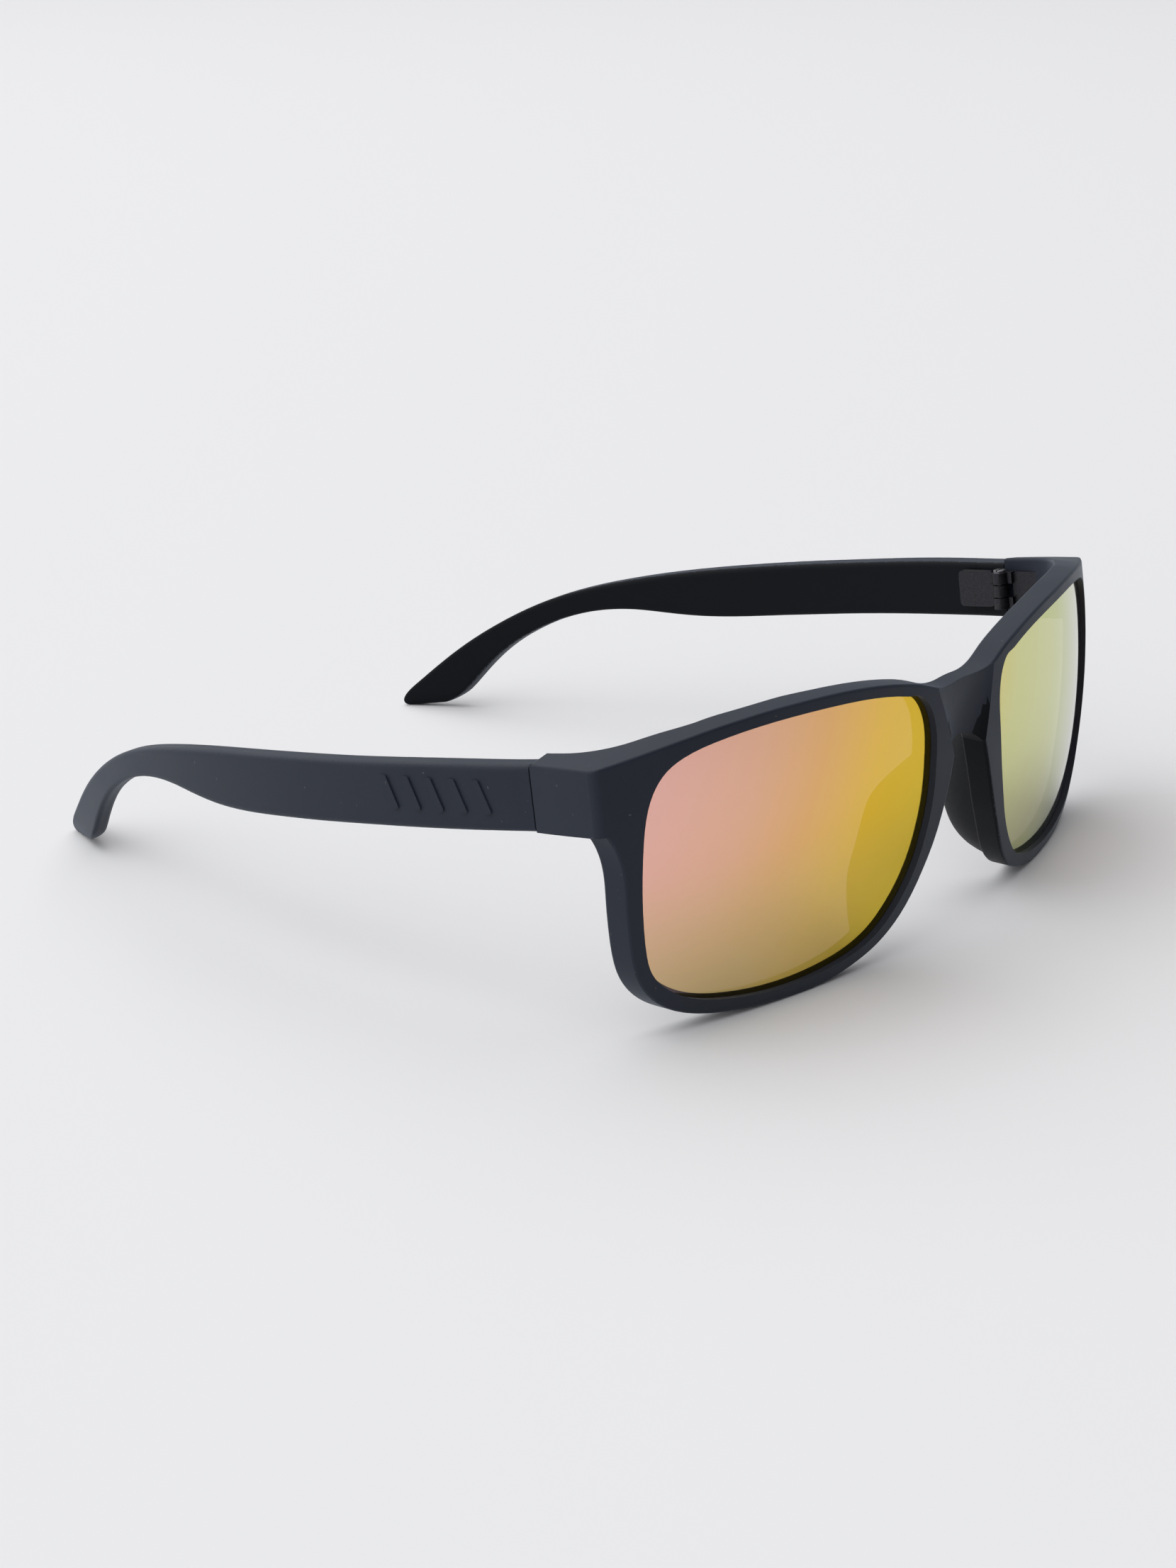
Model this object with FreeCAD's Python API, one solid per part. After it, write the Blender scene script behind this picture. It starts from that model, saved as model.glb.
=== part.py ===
import FreeCAD, Part
import math
import os

# One pair of slim moulded sunglasses with two folding temples. Lengths are in millimetres.
# +X is the wearer's left, the lenses face -Y, the temples run back along +Y, +Z is up.
# The shape is drawn with the bridge front at y = 0 and is moved to its resting place when it is written out.

# Driving dimensions
HINGE_HALF_WIDTH = 69.0
FRAME_THICK = 4.2
LENS_DEPTH = 1.1
LENS_THICK = 1.6
GROOVE_DEPTH = 0.9
GROOVE_GAP = 0.04
SEAM_Y = 28.2
SEAM_GAP = 0.24
TEMPLE_THICK_FRONT = 4.2
TEMPLE_THICK_BACK = 3.4
DRAW_TILT_DEG = 8.0
REST_TILT_DEG = 7.17
REST_Y = 75.37
REST_LIFT = 1.003

# Front surface of the frame: y grows with the distance from the centre line and from mid height
WRAP_SQUARE = 2.667e-3
WRAP_FOURTH = 1.703e-7
TILT_SLOPE = -0.123
TILT_SQUARE = 4.663e-3
TILT_CENTRE_Z = 25.0

# Hinge
AXIS_X = 63.1
AXIS_Y = SEAM_Y
BARREL_R = 1.3
PIN_R = 0.6
PIN_GAP = 0.05
LEAF_OUT = 0.9
LEAF_IN = 2.1
LEAF_START = 1.9
LEAF_LENGTH = 6.6
LEAF_LOW_Z = 34.2
LEAF_HIGH_Z = 40.4
KNUCKLE_HEIGHT = 1.9
KNUCKLE_GAP = 0.2
HEAD_R = 1.05
HEAD_HEIGHT = 0.5
SLOT_WIDTH = 0.3
SLOT_DEPTH = 0.25
INSERT_GAP = 0.02

# Rounded edges
CREASE_ROUND = 1.6
EDGE_ROUND = 0.45
TEMPLE_ROUND = 0.9
TIP_ROUND_LOSS = 0.4

# Raised ribs on the outer face of each temple
RIB_COUNT = 5
RIB_FIRST = 6.5
RIB_STEP = 4.0
RIB_WIDTH = 1.3
RIB_SLANT = 1.8
RIB_LOW_Z = 34.6
RIB_HIGH_Z = 39.4
RIB_HEIGHT = 0.3
RIB_ROUND = 0.4

# Height of the brow along the front, left half. (x, z)
BROW_LINE = [(0.0, 38.2), (3.5, 38.1), (7.0, 38.5), (10.5, 39.7), (15.0, 41.0), (22.0, 42.4), (30.0, 43.4),
             (38.0, 43.9), (46.0, 44.0), (54.0, 43.6), (62.0, 42.75), (70.0, 41.8), (78.0, 40.8)]
BROW_RISE = 0.16
BROW_FALL = 0.0015
BROW_FALL_START = 10.0
CORNER_X = 70.0
CORNER_RUN = 12.0
# Lower outline of the left half seen from the front. (x, z)
SIDE_LINE = [(71.5, 34.2), (70.0, 33.3), (68.9, 31.8), (67.9, 29.4), (67.2, 26.0), (66.9, 22.0), (66.5, 18.0),
             (65.8, 14.0), (64.7, 10.6), (62.6, 7.4), (59.3, 4.7), (55.0, 2.8), (49.0, 1.4), (42.5, 0.6),
             (36.0, 0.2), (30.0, 0.4), (25.5, 1.2), (21.4, 2.4), (17.8, 4.3), (15.0, 6.7), (12.7, 9.6),
             (10.8, 12.6), (9.1, 15.6), (7.7, 18.7), (6.5, 21.7), (5.5, 24.5), (4.6, 27.3)]
ARCH_LINE = [(4.6, 27.3), (2.9, 28.9), (0.0, 29.4)]

# Outline of the lens opening, seen from the front. (x, z)
OPENING = [(16.0, 39.4), (22.5, 40.8), (30.0, 41.7), (38.0, 42.2), (46.0, 42.3), (52.5, 41.9),
           (57.5, 41.0), (60.8, 39.4), (62.9, 36.8), (64.1, 33.4), (64.7, 29.0), (64.9, 24.5),
           (64.7, 19.5), (64.1, 14.9), (62.9, 11.1), (60.1, 7.9), (56.1, 5.5), (50.2, 3.7), (43.6, 2.6),
           (37.0, 2.2), (30.4, 2.5), (25.0, 3.4), (20.8, 5.1), (17.7, 7.6), (15.3, 10.4), (13.3, 13.7),
           (11.9, 17.3), (10.8, 21.0), (10.1, 24.7), (9.7, 28.5), (9.5, 32.0), (10.0, 35.0),
           (11.3, 37.4), (13.3, 38.9)]

# Nose pad fins, one row per height: z, nasal x at the front, depth behind the front, outward flare
PAD_ROWS = [(30.0, 5.2, 4.0, 0.6), (28.0, 4.9, 6.2, 1.2), (25.5, 5.3, 8.8, 2.4), (22.5, 6.3, 10.8, 3.2),
            (19.0, 7.8, 11.5, 3.2), (15.5, 9.4, 11.5, 3.0), (12.0, 11.3, 10.8, 2.6), (9.0, 13.4, 9.4, 2.1),
            (6.5, 15.9, 7.4, 1.5), (4.6, 18.6, 5.2, 0.8)]
PAD_BASE = 4.2
PAD_EDGE = 2.4

# Side view of a temple, one row per station: upper point, lower point, thinning of each face. (s, z, s, z, thin)
TEMPLE_ROWS = [(0.12, 41.7, 0.12, 32.2, 0.0), (12.0, 41.5, 12.0, 32.0, 0.0), (24.0, 41.2, 24.0, 31.8, 0.0),
               (36.0, 40.8, 36.0, 31.5, 0.0), (48.0, 40.4, 47.5, 31.2, 0.0), (59.0, 39.9, 58.0, 31.1, 0.0),
               (69.0, 39.2, 67.5, 31.9, 0.0), (78.0, 38.2, 75.5, 33.0, 0.0), (85.5, 36.9, 82.0, 33.0, 0.0),
               (92.0, 35.1, 87.8, 32.0, 0.0), (98.0, 32.7, 93.2, 30.1, 0.0), (103.5, 29.9, 98.1, 27.5, 0.0),
               (108.3, 26.9, 102.3, 24.2, 0.0), (112.5, 23.8, 105.4, 21.1, 0.0), (115.8, 21.2, 107.0, 19.5, 0.0),
               (117.8, 19.2, 108.3, 18.5, 0.1), (118.2, 18.0, 109.6, 17.8, 0.45), (117.3, 17.3, 111.1, 17.3, 1.0)]
# Plan view of a temple: outer face x as a polynomial in the distance behind the seam
BOW = [HINGE_HALF_WIDTH, 0.1365, -0.002951, 6.94e-7]


def vec(x, y, z):
    return FreeCAD.Vector(x, y, z)


def front_y(x, z):
    dz = z - TILT_CENTRE_Z
    return WRAP_SQUARE * x ** 2 + WRAP_FOURTH * x ** 4 + TILT_SLOPE * dz + TILT_SQUARE * dz ** 2


def draw_dir():
    tilt = math.radians(DRAW_TILT_DEG)
    return vec(0, math.cos(tilt), math.sin(tilt))


def to_plane(x, z):
    # Slides a point of the front surface back along the draw direction to the plane y = 0.
    return vec(x, 0, z - front_y(x, z) * math.tan(math.radians(DRAW_TILT_DEG)))


def spline(points, closed=False):
    curve = Part.BSplineCurve()
    curve.interpolate(Points=points, PeriodicFlag=closed)
    return curve.toShape()


def mirrored(shape):
    return shape.mirror(vec(0, 0, 0), vec(1, 0, 0))


def shell_between(depth, thick):
    # A curved sheet that follows the front surface at a given depth behind it.
    rows = []
    for i in range(23):
        x = -88.0 + 8.0 * i
        rows.append([vec(x, front_y(x, z) + depth, z) for z in [-12.0 + 6.0 * j for j in range(12)]])
    surface = Part.BSplineSurface()
    surface.interpolate(rows)
    return surface.toShape().extrude(vec(0, thick, 0))


def along_draw(wire):
    # Prism of a closed outline that runs in the draw direction through the whole front.
    start = wire.copy()
    start.translate(draw_dir() * -15.0)
    return Part.Face(start).extrude(draw_dir() * 65.0)


def outset(points, offset):
    # Moves each point of a closed outline outward by a fixed distance.
    count = len(points)
    middle_x = sum(p[0] for p in points) / count
    middle_z = sum(p[1] for p in points) / count
    moved = []
    for i in range(count):
        before = points[i - 1]
        after = points[(i + 1) % count]
        dx = after[0] - before[0]
        dz = after[1] - before[1]
        length = math.hypot(dx, dz)
        nx = dz / length
        nz = -dx / length
        if nx * (points[i][0] - middle_x) + nz * (points[i][1] - middle_z) < 0:
            nx = -nx
            nz = -nz
        moved.append((points[i][0] + offset * nx, points[i][1] + offset * nz))
    return moved


def wall_wire(plane_y):
    # Lower outline of the front as it passes through the plane y = plane_y, closed high above the brow.
    def at(x, z):
        return vec(x, plane_y, z + math.tan(math.radians(DRAW_TILT_DEG)) * (plane_y - front_y(x, z)))

    left = [at(*p) for p in SIDE_LINE]
    right = [vec(-p.x, p.y, p.z) for p in reversed(left)]
    half_arch = [at(*p) for p in ARCH_LINE]
    arch = half_arch + [vec(-p.x, p.y, p.z) for p in reversed(half_arch[:-1])]
    high_left = vec(left[0].x + 6, plane_y, 62)
    high_right = vec(right[-1].x - 6, plane_y, 62)
    return Part.Wire([spline(left), spline(arch), spline(right), Part.makeLine(right[-1], high_right),
                      Part.makeLine(high_right, high_left), Part.makeLine(high_left, left[0])])


def below_brow():
    # Everything under the top surface of the brow and of the end pieces.
    points = [(-x, z) for x, z in BROW_LINE[:0:-1]] + BROW_LINE
    brow = Part.BSplineCurve()
    brow.interpolate(Points=[vec(x, 0, z) for x, z in points])
    rows = []
    for i in range(41):
        x = -76.0 + 3.8 * i
        inboard = min(1.0, max(0.0, (CORNER_X - abs(x)) / CORNER_RUN))
        z = brow.toShape().distToShape(Part.makeLine(vec(x, 0, 30), vec(x, 0, 60)))[1][0][0].z
        row = []
        for j in range(16):
            y = -14.0 + 3.6 * j
            back = min(FRAME_THICK, y - front_y(x, z))
            fall = max(0.0, y - BROW_FALL_START - 0.5 * front_y(x, z))
            row.append(vec(x, y, z + BROW_RISE * inboard * back - BROW_FALL * fall ** 2))
        rows.append(row)
    surface = Part.BSplineSurface()
    surface.interpolate(rows)
    return surface.toShape().extrude(vec(0, 0, -70))


def side_profile():
    # Everything between the outer faces of the two end pieces, seen from above.
    back = SEAM_Y - 0.5 * SEAM_GAP
    curve = [vec(71.6, -12.0, -20), vec(70.9, 5.0, -20), vec(70.2, 17.0, -20), vec(69.75, 22.5, -20),
             vec(HINGE_HALF_WIDTH + 0.05, back, -20)]
    other = [vec(-p.x, p.y, p.z) for p in reversed(curve)]
    wire = Part.Wire([spline(curve), Part.makeLine(curve[-1], other[0]), spline(other),
                      Part.makeLine(other[-1], curve[0])])
    return Part.Face(wire).extrude(vec(0, 0, 90))


def opening_wire(offset=0.0):
    return Part.Wire([spline([to_plane(*p) for p in outset(OPENING, offset)], True)])


def bridge_scoop():
    # Hollow of the bridge between the rims: wide and shallow above, narrow and deep below.
    sections = []
    for z, half, depth in [(26.0, 4.3, 2.6), (33.0, 6.4, 1.7), (42.0, 9.6, 0.7)]:
        edge_y = front_y(half, z)
        arc = Part.Arc(vec(-half, edge_y, z), vec(0, front_y(0, z) + depth, z), vec(half, edge_y, z)).toShape()
        lines = Part.makePolygon([vec(half, edge_y, z), vec(half, -12, z), vec(-half, -12, z),
                                  vec(-half, edge_y, z)])
        sections.append(Part.Wire([arc] + lines.Edges))
    return Part.makeLoft(sections, True, False)


def nose_pad():
    # Fin behind the nasal side of the left rim, drawn through one section per height.
    sections = []
    for z, nasal_x, depth, flare in PAD_ROWS:
        y0 = front_y(nasal_x, z)
        root = y0 + 1.6
        tip = y0 + depth
        edge = 0.5 * PAD_EDGE
        middle = 0.5 * (root + tip)
        points = [vec(nasal_x + 0.1, root, z), vec(nasal_x + 0.45 * flare, middle, z),
                  vec(nasal_x + flare, tip - edge, z), vec(nasal_x + flare + edge, tip, z),
                  vec(nasal_x + flare + PAD_EDGE, tip - edge, z),
                  vec(nasal_x + 0.4 * flare + 0.5 * (PAD_EDGE + PAD_BASE), middle, z),
                  vec(nasal_x + PAD_BASE, root, z)]
        wire = Part.Wire([spline(points), Part.makeLine(points[-1], points[0])])
        sections.append(wire)
    return Part.makeLoft(sections, True, False)


def end_piece():
    # Thick left corner of the front that runs back to the seam.
    inner_x = HINGE_HALF_WIDTH - TEMPLE_THICK_FRONT
    back = SEAM_Y - 0.5 * SEAM_GAP
    inner = [vec(inner_x, back, 0), vec(64.7, 25.2, 0), vec(64.1, 22.1, 0), vec(62.7, 19.3, 0),
             vec(60.0, 16.7, 0), vec(56.2, 14.2, 0), vec(50.5, 11.2, 0), vec(44.0, 7.6, 0)]
    wire = Part.Wire([spline(inner), Part.makeLine(inner[-1], vec(44, -5, 0)),
                      Part.makeLine(vec(44, -5, 0), vec(74, -5, 0)),
                      Part.makeLine(vec(74, -5, 0), vec(74, back, 0)),
                      Part.makeLine(vec(74, back, 0), inner[0])])
    column = Part.Face(wire).extrude(vec(0, 0, 70))
    side = Part.makePolygon([vec(40, -6, 32.4), vec(40, 17, 32.4), vec(40, 30, 32.2), vec(40, 30, 65),
                             vec(40, -6, 65), vec(40, -6, 32.4)])
    return column.common(Part.Face(side).extrude(vec(40, 0, 0)))


def near(edge, x, y, z, reach):
    # True if the middle of an edge lies close to a point or to its mirror image.
    centre = edge.CenterOfMass
    return vec(abs(centre.x), centre.y, centre.z).distanceToPoint(vec(x, y, z)) < reach


def rounded(shape, rounds):
    # Rounds several edges of a solid in one operation. (edge number, radius)
    document = FreeCAD.newDocument("rounding")
    base = document.addObject("Part::Feature", "base")
    base.Shape = shape
    fillet = document.addObject("Part::Fillet", "fillet")
    fillet.Base = base
    fillet.Edges = [(number, radius, radius) for number, radius in rounds]
    document.recompute()
    result = fillet.Shape.copy()
    FreeCAD.closeDocument(document.Name)
    return result.Solids[0]


def front_body():
    # Both rims, brow, bridge and end pieces before the lens openings are cut.
    wall = Part.makeLoft([wall_wire(-10.0), wall_wire(38.0)], True, True)
    sheet = shell_between(0, FRAME_THICK).common(wall)
    corner = end_piece().common(shell_between(0, 60))
    body = sheet.fuse([corner, mirrored(corner)])
    body = body.common(below_brow())
    body = body.common(side_profile()).removeSplitter()
    return body.Solids[0]


def front_frame():
    body = front_body()
    rounds = []
    for number, edge in enumerate(body.Edges, 1):
        long_edge = edge.Length > 3.4
        on_back_wall = near(edge, 64.8, 28.1, 36.5, 6.0)
        inner_step = near(edge, 61.0, 17.0, 32.5, 2.5) or near(edge, 51.1, 11.6, 38.4, 3.0)
        hidden = near(edge, 57.5, 14.3, 32.5, 2.5) or near(edge, 66.7, 18.8, 32.5, 1.0)
        under_end = near(edge, 69.7, 23.0, 32.3, 1.5)
        at_corner = near(edge, 4.6, 1.9, 27.6, 0.8)
        if near(edge, 70.2, 16.5, 37.6, 0.8):
            rounds.append((number, CREASE_ROUND))
        elif long_edge and not (on_back_wall or inner_step or hidden or under_end or at_corner):
            rounds.append((number, EDGE_ROUND))
    body = rounded(body, rounds)
    pad = nose_pad()
    body = body.fuse([pad, mirrored(pad)])
    body = body.cut(bridge_scoop())
    opening = along_draw(opening_wire())
    body = body.cut([opening, mirrored(opening)])
    groove = along_draw(opening_wire(GROOVE_DEPTH + GROOVE_GAP))
    groove = groove.common(shell_between(LENS_DEPTH - GROOVE_GAP, LENS_THICK + 2 * GROOVE_GAP))
    body = body.cut([groove, mirrored(groove)])
    pocket = front_leaf_plate(INSERT_GAP)
    body = body.cut([pocket, mirrored(pocket)])
    return body.removeSplitter()


def lens():
    return along_draw(opening_wire(GROOVE_DEPTH)).common(shell_between(LENS_DEPTH, LENS_THICK))


def block(x0, x1, y0, y1, z0, z1):
    return Part.makeBox(x1 - x0, y1 - y0, z1 - z0, vec(x0, y0, z0))


def rounded_plate(x0, x1, y0, y1, z0, z1, radius):
    plate = block(x0, x1, y0, y1, z0, z1)
    return plate.makeFillet(radius, [e for e in plate.Edges if abs(e.BoundBox.XLength - (x1 - x0)) < 0.01])


def front_leaf_plate(gap):
    # Flat part of the front hinge leaf, ahead of the knuckles.
    return rounded_plate(AXIS_X + LEAF_OUT - gap, AXIS_X + LEAF_IN + gap, AXIS_Y - LEAF_START - LEAF_LENGTH - gap,
                         AXIS_Y - LEAF_START + gap, LEAF_LOW_Z - gap, LEAF_HIGH_Z + gap, 0.8)


def temple_leaf_plate(gap):
    return rounded_plate(AXIS_X + LEAF_OUT - gap, AXIS_X + LEAF_IN + gap, AXIS_Y + LEAF_START - gap,
                         AXIS_Y + LEAF_START + LEAF_LENGTH + gap, LEAF_LOW_Z - gap, LEAF_HIGH_Z + gap, 0.8)


def knuckle(z0, z1, toward):
    # One barrel of the hinge with the web that joins it to its plate.
    barrel = Part.makeCylinder(BARREL_R, z1 - z0, vec(AXIS_X, AXIS_Y, z0))
    if toward < 0:
        web = block(AXIS_X + 0.1, AXIS_X + BARREL_R, AXIS_Y - LEAF_START - 0.2, AXIS_Y, z0, z1)
    else:
        web = block(AXIS_X + 0.1, AXIS_X + BARREL_R, AXIS_Y, AXIS_Y + LEAF_START + 0.2, z0, z1)
    bore = Part.makeCylinder(PIN_R + PIN_GAP, z1 - z0 + 2, vec(AXIS_X, AXIS_Y, z0 - 1))
    return barrel.fuse(web).cut(bore)


def front_leaf():
    low = knuckle(LEAF_LOW_Z, LEAF_LOW_Z + KNUCKLE_HEIGHT, -1)
    high = knuckle(LEAF_HIGH_Z - KNUCKLE_HEIGHT, LEAF_HIGH_Z, -1)
    return front_leaf_plate(0).fuse([low, high]).removeSplitter()


def temple_leaf():
    middle = knuckle(LEAF_LOW_Z + KNUCKLE_HEIGHT + KNUCKLE_GAP, LEAF_HIGH_Z - KNUCKLE_HEIGHT - KNUCKLE_GAP, 1)
    return temple_leaf_plate(0).fuse(middle).removeSplitter()


def hinge_screw():
    shaft = Part.makeCylinder(PIN_R, LEAF_HIGH_Z - LEAF_LOW_Z, vec(AXIS_X, AXIS_Y, LEAF_LOW_Z))
    head = Part.makeCylinder(HEAD_R, HEAD_HEIGHT, vec(AXIS_X, AXIS_Y, LEAF_HIGH_Z))
    head = head.makeFillet(0.15, [e for e in head.Edges if abs(e.CenterOfMass.z - LEAF_HIGH_Z - HEAD_HEIGHT) < 0.01
                                  and e.Length > 1.2 * HEAD_HEIGHT])
    slot = block(AXIS_X - 2, AXIS_X + 2, AXIS_Y - 0.5 * SLOT_WIDTH, AXIS_Y + 0.5 * SLOT_WIDTH,
                 LEAF_HIGH_Z + HEAD_HEIGHT - SLOT_DEPTH, LEAF_HIGH_Z + HEAD_HEIGHT + 1)
    return shaft.fuse(head).cut(slot).removeSplitter()


def bow_x(s):
    return sum(factor * s ** power for power, factor in enumerate(BOW))


def temple_thickness(s):
    return TEMPLE_THICK_FRONT + (TEMPLE_THICK_BACK - TEMPLE_THICK_FRONT) * min(1.0, s / 100.0)


def temple_plan(outset_by=0.0):
    # Curved plan of the left temple: outer face, square end, inner face.
    steps = [i * 9.0 for i in range(16)]
    outer = [vec(bow_x(s) + outset_by, SEAM_Y + s, -5) for s in steps]
    inner = [vec(bow_x(s) - temple_thickness(s), SEAM_Y + s, -5) for s in reversed(steps)]
    return Part.Wire([spline(outer), Part.makeLine(outer[-1], inner[0]), spline(inner),
                      Part.makeLine(inner[-1], outer[0])])


def rounded_section(corners, radius):
    # Closed outline of straight sides and softly rounded corners.
    edges = []
    count = len(corners)
    starts = []
    ends = []
    for i in range(count):
        before = corners[i - 1].sub(corners[i]).normalize()
        after = corners[(i + 1) % count].sub(corners[i]).normalize()
        starts.append(corners[i].add(before * radius))
        ends.append(corners[i].add(after * radius))
    for i in range(count):
        bend = Part.BezierCurve()
        bend.setPoles([starts[i], corners[i], ends[i]])
        edges.append(bend.toShape())
        edges.append(Part.makeLine(ends[i], starts[(i + 1) % count]))
    return Part.Wire(edges)


def raised_ribs():
    ribs = []
    side = temple_plan(RIB_HEIGHT)
    band = Part.Face(side).extrude(vec(0, 0, 60))
    for i in range(RIB_COUNT):
        start = SEAM_Y + RIB_FIRST + i * RIB_STEP
        outline = Part.makePolygon([vec(60, start, RIB_LOW_Z), vec(60, start + RIB_WIDTH, RIB_LOW_Z),
                                    vec(60, start + RIB_WIDTH + RIB_SLANT, RIB_HIGH_Z),
                                    vec(60, start + RIB_SLANT, RIB_HIGH_Z), vec(60, start, RIB_LOW_Z)])
        rib = Part.Face(outline).extrude(vec(20, 0, 0))
        rib = rib.makeFillet(RIB_ROUND, [e for e in rib.Edges if abs(e.BoundBox.XLength - 20) < 0.01])
        keep = block(67.0, 75.0, SEAM_Y, SEAM_Y + 60, 0, 60)
        ribs.append(rib.common(band).common(keep))
    return ribs


def temple():
    sections = []
    for s0, z0, s1, z1, thin in TEMPLE_ROWS:
        corners = [vec(bow_x(s0) - thin, SEAM_Y + s0, z0), vec(bow_x(s1) - thin, SEAM_Y + s1, z1),
                   vec(bow_x(s1) - temple_thickness(s1) + thin, SEAM_Y + s1, z1),
                   vec(bow_x(s0) - temple_thickness(s0) + thin, SEAM_Y + s0, z0)]
        sections.append(rounded_section(corners, TEMPLE_ROUND - TIP_ROUND_LOSS * thin))
    body = Part.makeLoft(sections, True, False)
    body = body.fuse(raised_ribs())
    return body.cut(temple_leaf_plate(INSERT_GAP))


def place(shape):
    # Lays a finished piece down so that the rims and the tips rest on z = 0, with the middle over the origin.
    moved = shape.copy()
    moved.rotate(vec(0, 0, 0), vec(1, 0, 0), -REST_TILT_DEG)
    moved.translate(vec(0, -REST_Y, REST_LIFT))
    return moved


def both_sides(shape):
    return place(shape), place(mirrored(shape))


def write(name, shape):
    shape.exportStep("parts/" + name + ".step")


os.makedirs("parts", exist_ok=True)
write("front_frame", place(front_frame()))
for piece, shape in [("lens", lens()), ("temple", temple()), ("front_leaf", front_leaf()),
                     ("temple_leaf", temple_leaf())]:
    left, right = both_sides(shape)
    write("left_" + piece, left)
    write("right_" + piece, right)
write("hinge_screws", Part.makeCompound(list(both_sides(hinge_screw()))))
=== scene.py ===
import math

import bpy
from mathutils import Matrix, Vector

MM = 0.001

# Camera, in the row frame: place in millimetres, angles in degrees, focal length in millimetres
CAMERA_PLACE = (-376.4, -276.81, 164.73)
CAMERA_YAW_DEG = 53.840
CAMERA_PITCH_DEG = 18.399
CAMERA_ROLL_DEG = -0.647
CAMERA_LENS = 68.94
CAMERA_SENSOR_WIDTH = 36

# Coated plastic: two shades it varies between, the dust on it, its roughness and the shine at grazing angles
COATED_SHADES = ((0.0130, 0.0165, 0.0270), (0.0160, 0.0200, 0.0320))
DUST_COLOUR = (0.10, 0.105, 0.11)
DUST_COVER = 0.5
COATED_ROUGHNESS = (0.46, 0.56)
COATED_SPECULAR = 0.20
SHEEN_WEIGHT = 0.13
SHEEN_ROUGHNESS = 0.45
SHEEN_TINT = (0.70, 0.83, 1.0)

# Bare plastic on the faces turned to the wearer; its darker colour is painted shade for faces turned away
# from the light
BARE_PAINTED_SHADE_COLOUR = (0.0035, 0.0045, 0.0065)
BARE_ROUGHNESS = (0.42, 0.52)
BARE_SPECULAR = 0.10
# A face is turned inward when its normal points this far towards the centre line
INWARD_SLOPE = 0.4
# The nose pads lie within this distance of the centre line (metres), and their faces don't point up
PAD_REACH = 0.024
UPWARD_SLOPE = 0.6

# Mirror colour by how far the surface turns away from the eye: 0 seen square on, 1 seen edge on
MIRROR_COLOURS = [(0.00, (0.97, 0.54, 0.52)), (0.15, (0.94, 0.51, 0.40)), (0.25, (0.90, 0.50, 0.28)),
                  (0.32, (0.90, 0.50, 0.15)), (0.40, (0.92, 0.58, 0.04)), (0.50, (0.84, 0.60, 0.04)),
                  (0.62, (0.70, 0.73, 0.27)), (0.75, (0.66, 0.72, 0.30)), (0.95, (0.80, 0.82, 0.72))]
MIRROR_ROUGHNESS = (0.05, 0.11)
# Near its lower edge the mirror turns olive: between these heights (metres), and only where seen square on
OLIVE_COLOUR = (0.74, 0.62, 0.25)
OLIVE_HEIGHTS = (0.003, 0.024)
OLIVE_SHARE = 0.8
OLIVE_TURNS = (0.33, 0.50)

# Body of the lens, as seen behind the mirror and on the inner face
LENS_DARK = (0.020, 0.020, 0.024)
LENS_TINT = (0.60, 0.45, 0.60)
LENS_SEE_THROUGH = 0.14
MIRROR_BACK_ROUGHNESS = 0.4
MIRROR_BACK_SPECULAR = 0.25
INNER_FACE_SEE_THROUGH = 0.85
INNER_FACE_ROUGHNESS = (0.15, 0.25)
INNER_FACE_SPECULAR = 0.04

# Hinge metal: its colour goes up to this many times lighter in the grain
LEAF_COLOUR = (0.03, 0.03, 0.034)
LEAF_ROUGHNESS = (0.37, 0.50)
SCREW_COLOUR = (0.16, 0.16, 0.17)
SCREW_ROUGHNESS = (0.30, 0.43)
METAL_LIGHTER = 1.5
METALLIC_SHARE = 0.9

# Noise patterns: features per metre and how many finer layers they carry
COATED_GRAIN = (5200.0, 2.0)
BARE_GRAIN = (3800.0, 2.0)
METAL_GRAIN = (2500.0, 2.0)
BLOTCHES = (90.0, 3.0)
DUST = (1500.0, 1.0)
SMEARS = (60.0, 4.0)
# Noise values between which a pattern goes from none to full
GRAIN_RANGE = (0.3, 0.7)
BLOTCH_SHADE_RANGE = (0.35, 0.7)
BLOTCH_ROUGHNESS_RANGE = (0.3, 0.75)
DUST_RANGE = (0.77, 0.81)
SMEAR_RANGE = (0.4, 0.75)
# Relief of the grain in the two plastics: depth in metres and strength
COATED_RELIEF = (0.03 * MM, 0.25)
BARE_RELIEF = (0.02 * MM, 0.2)

# Floor: side in metres, and how far it lies under the glasses, so that no two faces coincide
FLOOR_SIDE = 24
FLOOR_DROP = 0.02 * MM
FLOOR_COLOUR = (0.80, 0.80, 0.81)
FLOOR_ROUGHNESS = 0.7
FLOOR_SPECULAR = 0.2

# Room: the direction it is brightest in, and its tone from the opposite side (0) to that direction (1)
ROOM_BRIGHT_SIDE = (-0.72, 0.60, 0.35)
ROOM_TONES = [(0.0, (0.02, 0.02, 0.02)), (0.45, (0.08, 0.08, 0.08)), (0.70, (0.75, 0.75, 0.77)),
              (1.0, (1.0, 1.0, 1.0))]
ROOM_STRENGTH = 1.1
# Pale strip that closes the room behind the far end of the floor, by height of the direction of view
HORIZON_TONE = (0.42, 0.42, 0.43)
HORIZON_HEIGHTS = (0.03, 0.16)

# Soft square lights: name, place, aim and side in metres, power in watts, colour
LIGHTS = [
    ("window", (-2.4, 1.2, 2.2), (0.0, 0.0, 0.0), 4.0, 32, (0.97, 0.985, 1.0)),
    ("overhead", (0.7, 1.1, 2.6), (0.2, 0.5, 0.0), 4.6, 58, (1.0, 1.0, 1.0)),
]

# Sockets of Blender's Mix node that carry colours
MIX_FIRST_COLOUR = 6
MIX_SECOND_COLOUR = 7
MIX_COLOUR_RESULT = 2

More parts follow.
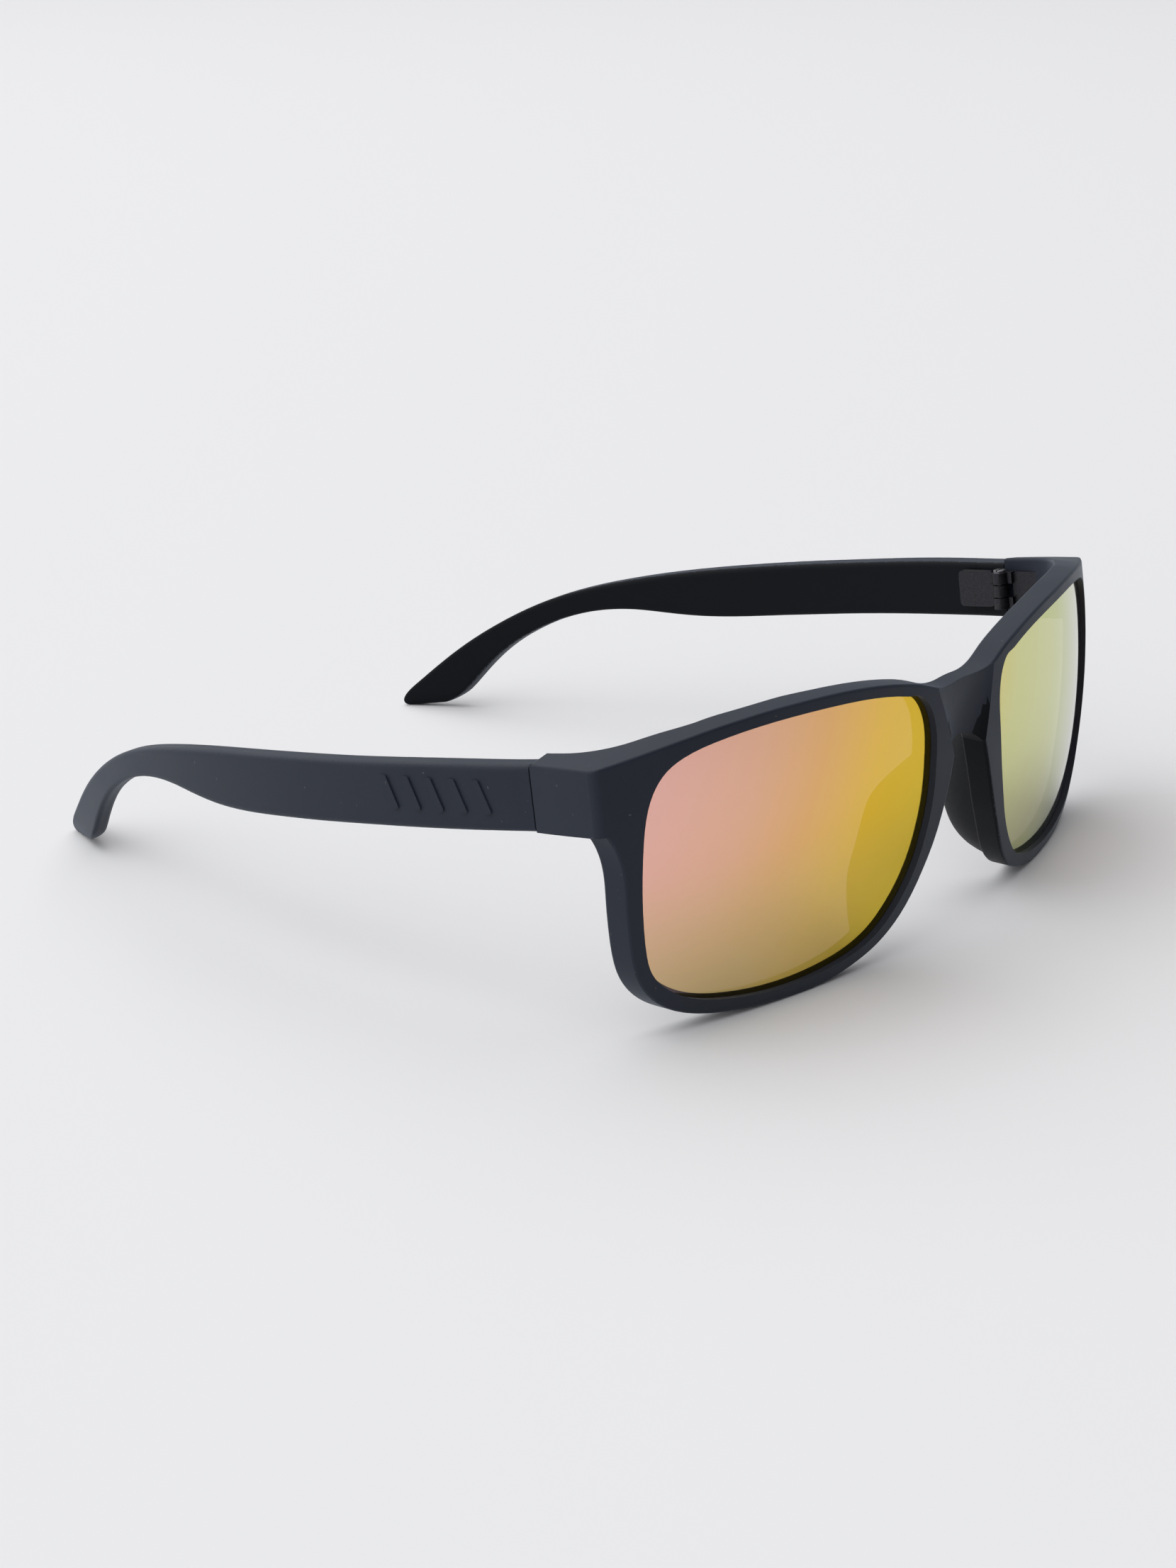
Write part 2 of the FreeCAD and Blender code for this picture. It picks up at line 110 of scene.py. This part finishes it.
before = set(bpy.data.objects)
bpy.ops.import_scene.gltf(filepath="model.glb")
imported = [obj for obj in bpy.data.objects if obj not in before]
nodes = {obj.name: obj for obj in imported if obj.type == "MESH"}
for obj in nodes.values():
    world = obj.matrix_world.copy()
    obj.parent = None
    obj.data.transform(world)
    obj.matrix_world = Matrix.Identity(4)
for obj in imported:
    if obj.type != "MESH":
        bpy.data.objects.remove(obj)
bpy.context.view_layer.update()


# ---------------------------------------------------------------- node helpers

def new_material(name):
    material = bpy.data.materials.new(name)
    material.use_nodes = True
    tree = material.node_tree
    tree.nodes.clear()
    return material, tree


def add(tree, kind, **settings):
    node = tree.nodes.new(kind)
    for key, value in settings.items():
        setattr(node, key, value)
    return node


def feed(tree, value, socket):
    # The value is another node's output to link, a colour or a number.
    if isinstance(value, bpy.types.NodeSocket):
        tree.links.new(value, socket)
    elif isinstance(value, tuple):
        socket.default_value = (*value, 1.0)
    else:
        socket.default_value = value


def principled(tree, settings):
    shader = add(tree, "ShaderNodeBsdfPrincipled")
    for name, value in settings.items():
        feed(tree, value, shader.inputs[name])
    return shader.outputs["BSDF"]


def transparent(tree, colour=(1.0, 1.0, 1.0)):
    shader = add(tree, "ShaderNodeBsdfTransparent")
    feed(tree, colour, shader.inputs["Color"])
    return shader.outputs["BSDF"]


def mix_shaders(tree, factor, first, second):
    mix = add(tree, "ShaderNodeMixShader")
    feed(tree, factor, mix.inputs["Fac"])
    feed(tree, first, mix.inputs[1])
    feed(tree, second, mix.inputs[2])
    return mix.outputs["Shader"]


def finish_material(tree, surface):
    output = add(tree, "ShaderNodeOutputMaterial")
    feed(tree, surface, output.inputs["Surface"])


def object_position(tree):
    return add(tree, "ShaderNodeTexCoord").outputs["Object"]


def height_of(tree, vector):
    parts = add(tree, "ShaderNodeSeparateXYZ")
    feed(tree, vector, parts.inputs["Vector"])
    return parts.outputs["Z"]


def noise(tree, scale, detail):
    node = add(tree, "ShaderNodeTexNoise")
    feed(tree, object_position(tree), node.inputs["Vector"])
    feed(tree, scale, node.inputs["Scale"])
    feed(tree, detail, node.inputs["Detail"])
    return node.outputs["Fac"]


def ramp(tree, value, stops):
    node = add(tree, "ShaderNodeValToRGB")
    elements = node.color_ramp.elements
    while len(elements) < len(stops):
        elements.new(0.5)
    for element, (place, colour) in zip(elements, stops):
        element.position = place
        element.color = (*colour, 1.0)
    feed(tree, value, node.inputs["Fac"])
    return node.outputs["Color"]


def spread(tree, value, source, target):
    # Carries one range of numbers over to another and stops at both ends.
    node = add(tree, "ShaderNodeMapRange")
    feed(tree, value, node.inputs["Value"])
    for name, number in zip(("From Min", "From Max", "To Min", "To Max"), (*source, *target)):
        feed(tree, number, node.inputs[name])
    return node.outputs["Result"]


def bump(tree, height, distance, strength):
    node = add(tree, "ShaderNodeBump")
    feed(tree, height, node.inputs["Height"])
    feed(tree, distance, node.inputs["Distance"])
    feed(tree, strength, node.inputs["Strength"])
    return node.outputs["Normal"]


def product(tree, first, second):
    node = add(tree, "ShaderNodeMath", operation="MULTIPLY")
    feed(tree, first, node.inputs[0])
    feed(tree, second, node.inputs[1])
    return node.outputs["Value"]


def mix_colour(tree, factor, first, second):
    node = add(tree, "ShaderNodeMix", data_type="RGBA")
    feed(tree, factor, node.inputs["Factor"])
    feed(tree, first, node.inputs[MIX_FIRST_COLOUR])
    feed(tree, second, node.inputs[MIX_SECOND_COLOUR])
    return node.outputs[MIX_COLOUR_RESULT]


# ---------------------------------------------------------------- materials

def soft_touch_plastic(name):
    # Matte rubbery coating on black nylon: fine grain, faint blotches and a few specks of dust.
    material, tree = new_material(name)
    grain = noise(tree, *COATED_GRAIN)
    blotch = noise(tree, *BLOTCHES)
    specks = noise(tree, *DUST)
    shade = mix_colour(tree, spread(tree, blotch, BLOTCH_SHADE_RANGE, (0.0, 1.0)), *COATED_SHADES)
    dusty = mix_colour(tree, spread(tree, specks, DUST_RANGE, (0.0, DUST_COVER)), shade, DUST_COLOUR)
    finish_material(tree, principled(tree, {
        "Base Color": dusty,
        "Roughness": spread(tree, blotch, BLOTCH_ROUGHNESS_RANGE, COATED_ROUGHNESS),
        "Normal": bump(tree, grain, *COATED_RELIEF),
        "Specular IOR Level": COATED_SPECULAR,
        "Sheen Weight": SHEEN_WEIGHT,
        "Sheen Roughness": SHEEN_ROUGHNESS,
        "Sheen Tint": SHEEN_TINT,
    }))
    return material


def uncoated_plastic_with_painted_shade(name):
    # Uncoated moulded nylon, as on the inner faces, with a darker colour that is painted shade for faces
    # turned from the light.
    material, tree = new_material(name)
    grain = noise(tree, *BARE_GRAIN)
    finish_material(tree, principled(tree, {
        "Base Color": BARE_PAINTED_SHADE_COLOUR,
        "Roughness": spread(tree, grain, GRAIN_RANGE, BARE_ROUGHNESS),
        "Normal": bump(tree, grain, *BARE_RELIEF),
        "Specular IOR Level": BARE_SPECULAR,
    }))
    return material


def mirror_front(name):
    # Interference coating: seen more from the side, its colour turns from rose through gold to green.
    # From behind, it is the dark inside of the lens. A little light comes through either way.
    material, tree = new_material(name)
    turn = add(tree, "ShaderNodeLayerWeight").outputs["Facing"]
    low = spread(tree, height_of(tree, object_position(tree)), OLIVE_HEIGHTS, (OLIVE_SHARE, 0.0))
    square_on = spread(tree, turn, OLIVE_TURNS, (1.0, 0.0))
    colour = mix_colour(tree, product(tree, low, square_on), ramp(tree, turn, MIRROR_COLOURS), OLIVE_COLOUR)
    outside = principled(tree, {
        "Base Color": colour,
        "Metallic": 1.0,
        "Roughness": spread(tree, noise(tree, *SMEARS), SMEAR_RANGE, MIRROR_ROUGHNESS),
    })
    inside = principled(tree, {
        "Base Color": LENS_DARK,
        "Roughness": MIRROR_BACK_ROUGHNESS,
        "Specular IOR Level": MIRROR_BACK_SPECULAR,
    })
    from_behind = add(tree, "ShaderNodeNewGeometry").outputs["Backfacing"]
    surface = mix_shaders(tree, from_behind, outside, inside)
    finish_material(tree, mix_shaders(tree, LENS_SEE_THROUGH, surface, transparent(tree, LENS_TINT)))
    return material


def clear_back(name):
    # Inner face of the lens, with almost no reflection of its own.
    material, tree = new_material(name)
    surface = principled(tree, {
        "Base Color": LENS_DARK,
        "Roughness": spread(tree, noise(tree, *SMEARS), SMEAR_RANGE, INNER_FACE_ROUGHNESS),
        "Specular IOR Level": INNER_FACE_SPECULAR,
    })
    finish_material(tree, mix_shaders(tree, INNER_FACE_SEE_THROUGH, surface, transparent(tree)))
    return material


def dark_metal(name, colour, roughness):
    material, tree = new_material(name)
    grain = noise(tree, *METAL_GRAIN)
    lighter = tuple(METAL_LIGHTER * channel for channel in colour)
    finish_material(tree, principled(tree, {
        "Base Color": mix_colour(tree, spread(tree, grain, GRAIN_RANGE, (0.0, 1.0)), colour, lighter),
        "Metallic": METALLIC_SHARE,
        "Roughness": spread(tree, grain, GRAIN_RANGE, roughness),
    }))
    return material


# ---------------------------------------------------------------- materials on the pieces

def dress(node, *materials):
    mesh = nodes[node].data
    mesh.materials.clear()
    for material in materials:
        mesh.materials.append(material)


def dress_coated(node, coated, bare_shaded_material):
    # The faces that look towards the wearer's head or nose are left uncoated and darker: painted shade, as
    # they are turned from the light.
    dress(node, coated, bare_shaded_material)
    is_temple = node != "front_frame"
    for face in nodes[node].data.polygons:
        inward = -face.normal.x if face.center.x > 0 else face.normal.x
        on_pad = abs(face.center.x) < PAD_REACH and face.normal.z < UPWARD_SLOPE
        face.material_index = 1 if inward > INWARD_SLOPE and (is_temple or on_pad) else 0


def dress_lens(node, front, back):
    dress(node, front, back)
    for face in nodes[node].data.polygons:
        face.material_index = 0 if face.normal.y < 0 else 1


plastic = soft_touch_plastic("soft_touch_black")
bare_plastic_with_painted_shade = uncoated_plastic_with_painted_shade("uncoated_nylon_painted_shade")
mirror = mirror_front("coloured_mirror")
inner_face = clear_back("lens_inner_face")
leaf_metal = dark_metal("black_leaf_metal", LEAF_COLOUR, LEAF_ROUGHNESS)
screw_metal = dark_metal("dark_screw_steel", SCREW_COLOUR, SCREW_ROUGHNESS)

dress_coated("front_frame", plastic, bare_plastic_with_painted_shade)
dress("hinge_screws", screw_metal)
for side in ("right", "left"):
    dress_coated(side + "_temple", plastic, bare_plastic_with_painted_shade)
    dress_lens(side + "_lens", mirror, inner_face)
    dress(side + "_front_leaf", leaf_metal)
    dress(side + "_temple_leaf", leaf_metal)


# ---------------------------------------------------------------- stage, light and camera

def make_floor():
    bpy.ops.mesh.primitive_plane_add(size=1, location=(0, 0, -FLOOR_DROP))
    floor = bpy.context.object
    floor.name = "floor"
    floor.scale = (FLOOR_SIDE, FLOOR_SIDE, 1)
    material, tree = new_material("pale_floor")
    finish_material(tree, principled(tree, {
        "Base Color": FLOOR_COLOUR,
        "Roughness": FLOOR_ROUGHNESS,
        "Specular IOR Level": FLOOR_SPECULAR,
    }))
    floor.data.materials.append(material)


def area_light(name, place, aim, side, power, colour):
    data = bpy.data.lights.new(name, "AREA")
    data.shape = "SQUARE"
    data.size = side
    data.energy = power
    data.color = colour
    lamp = bpy.data.objects.new(name, data)
    lamp.location = place
    lamp.rotation_euler = (Vector(aim) - Vector(place)).to_track_quat("-Z", "Y").to_euler()
    bpy.context.scene.collection.objects.link(lamp)


def make_world():
    # A pale room: bright behind the glasses on the wearer's right, dim in front of them.
    world = bpy.data.worlds.new("studio")
    world.use_nodes = True
    tree = world.node_tree
    direction = add(tree, "ShaderNodeTexCoord").outputs["Generated"]
    toward = add(tree, "ShaderNodeVectorMath", operation="DOT_PRODUCT")
    feed(tree, direction, toward.inputs[0])
    toward.inputs[1].default_value = ROOM_BRIGHT_SIDE
    room = ramp(tree, spread(tree, toward.outputs["Value"], (-1.0, 1.0), (0.0, 1.0)), ROOM_TONES)
    horizon = spread(tree, height_of(tree, direction), HORIZON_HEIGHTS, (1.0, 0.0))
    background = tree.nodes["Background"]
    feed(tree, mix_colour(tree, horizon, room, HORIZON_TONE), background.inputs["Color"])
    feed(tree, ROOM_STRENGTH, background.inputs["Strength"])
    bpy.context.scene.world = world


def make_camera():
    yaw = math.radians(CAMERA_YAW_DEG)
    pitch = math.radians(CAMERA_PITCH_DEG)
    roll = math.radians(CAMERA_ROLL_DEG)
    forward = Vector((math.sin(yaw) * math.cos(pitch), math.cos(yaw) * math.cos(pitch), -math.sin(pitch)))
    right = forward.cross(Vector((0, 0, 1))).normalized()
    up = right.cross(forward)
    right_rolled = right * math.cos(roll) + up * math.sin(roll)
    up_rolled = up * math.cos(roll) - right * math.sin(roll)
    data = bpy.data.cameras.new("camera")
    data.sensor_fit = "AUTO"
    data.sensor_width = CAMERA_SENSOR_WIDTH
    data.lens = CAMERA_LENS
    camera = bpy.data.objects.new("camera", data)
    turn = Matrix((right_rolled, up_rolled, -forward)).transposed()
    camera.matrix_world = Matrix.Translation(Vector(CAMERA_PLACE) * MM) @ turn.to_4x4()
    bpy.context.scene.collection.objects.link(camera)
    bpy.context.scene.camera = camera


make_floor()
make_world()
for light in LIGHTS:
    area_light(*light)
make_camera()
bpy.context.scene.view_settings.view_transform = "Standard"
